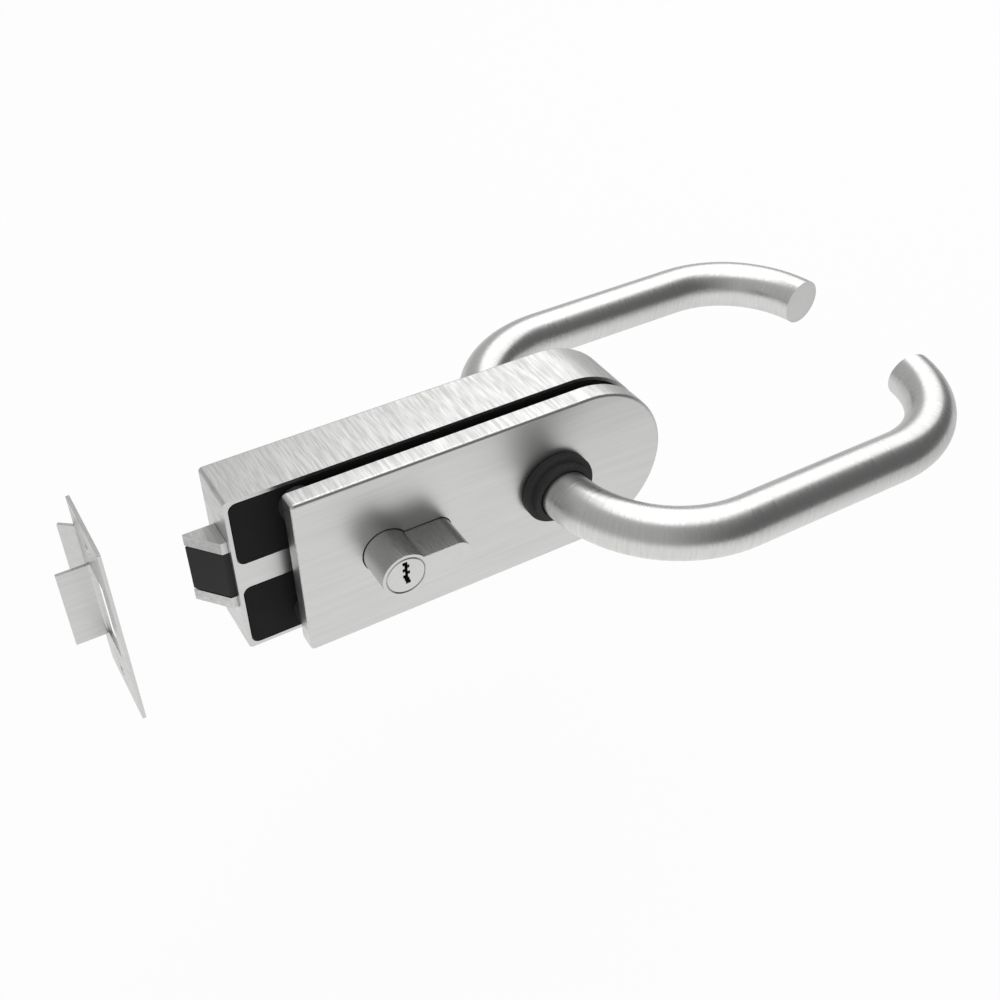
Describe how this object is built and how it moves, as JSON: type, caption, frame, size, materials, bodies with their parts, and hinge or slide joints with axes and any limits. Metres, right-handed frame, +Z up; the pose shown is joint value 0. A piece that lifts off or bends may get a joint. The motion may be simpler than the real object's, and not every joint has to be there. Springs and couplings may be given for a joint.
{
  "type": "glass door lock",
  "caption": "Lever lock set for a frameless glass door: stadium case and cover with black glass pads, key cylinder, tube levers, bevelled latch and a strike plate.",
  "frame": {"origin": "centre of the case's glass-side face, in the middle of the case's length and height", "axes": "+X from the latch to the round end, +Y away from the glass into the case, +Z up"},
  "size_m": [0.3307, 0.1545, 0.072],
  "materials": {
    "brushed_steel": "brushed",
    "tube_steel": "fine brushed round the tube",
    "zinc_steel": "zinc plated",
    "nickel": "satin nickel plated",
    "black_rubber": "matte",
    "black_plastic": "satin",
    "white_acetal": "satin"
  },
  "bodies": {
    "lock_body": {"rear_case": "brushed_steel", "base_plate": "zinc_steel", "base_plate_screw_1": "zinc_steel", "base_plate_screw_2": "zinc_steel", "base_plate_screw_3": "zinc_steel", "base_plate_screw_4": "zinc_steel", "upper_case_pad": "black_rubber", "lower_case_pad": "black_rubber", "front_cover": "brushed_steel", "upper_cover_pad": "black_rubber", "lower_cover_pad": "black_rubber", "clamp_screw_1": "zinc_steel", "clamp_screw_2": "zinc_steel", "clamp_screw_3": "zinc_steel", "clamp_screw_4": "zinc_steel", "glass_sleeve_1": "black_plastic", "glass_sleeve_2": "black_plastic", "glass_sleeve_3": "black_plastic", "glass_sleeve_4": "black_plastic", "front_lever_bush": "black_plastic", "rear_lever_bush": "black_plastic", "front_bearing": "white_acetal", "rear_bearing": "white_acetal", "cylinder_body": "nickel", "cylinder_fixing_screw": "zinc_steel", "latch_guide": "white_acetal", "latch_spring": "zinc_steel", "return_spring": "zinc_steel", "slide_guide_pin_1": "zinc_steel", "slide_guide_pin_2": "zinc_steel", "strike_plate": "brushed_steel"},
    "latch": {"latch_bolt": "brushed_steel", "latch_insert": "black_plastic"},
    "levers": {"front_lever": "tube_steel", "rear_lever": "tube_steel", "front_lever_socket": "zinc_steel", "rear_lever_socket": "zinc_steel", "front_grub_screw": "zinc_steel", "rear_grub_screw": "zinc_steel", "spindle": "zinc_steel", "follower": "zinc_steel"},
    "front_key": {"front_key_plug": "nickel", "cylinder_cam": "zinc_steel"},
    "rear_key": {"rear_key_plug": "nickel"},
    "lock_slide": {"locking_slide": "zinc_steel"}
  },
  "joints": [
    {"name": "lever_turn", "type": "hinge", "parent": "lock_body", "child": "levers", "pos_m": [0.035, 0, 0], "axis": [0, 1, 0], "range_deg": [0, 40], "stiffness_Nm_per_rad": 1, "springref_deg": -28.65, "deforming": ["return_spring"]},
    {"name": "latch_slide", "type": "slide", "parent": "lock_body", "child": "latch", "axis": [1, 0, 0], "range_m": [0, 0.0109], "deforming": ["latch_spring"]},
    {"name": "front_plug_turn", "type": "hinge", "parent": "lock_body", "child": "front_key", "pos_m": [-0.0316, 0.012, 0], "axis": [0, 1, 0], "continuous": true},
    {"name": "rear_plug_turn", "type": "hinge", "parent": "lock_body", "child": "rear_key", "pos_m": [-0.0316, 0.012, 0], "axis": [0, 1, 0], "continuous": true},
    {"name": "locking_slide_travel", "type": "slide", "parent": "lock_body", "child": "lock_slide", "axis": [1, 0, 0], "range_m": [0, 0.005]}
  ],
  "couplings": [
    {"joint": "latch_slide", "follows": "lever_turn", "m_per_rad": 0.0156}
  ]
}
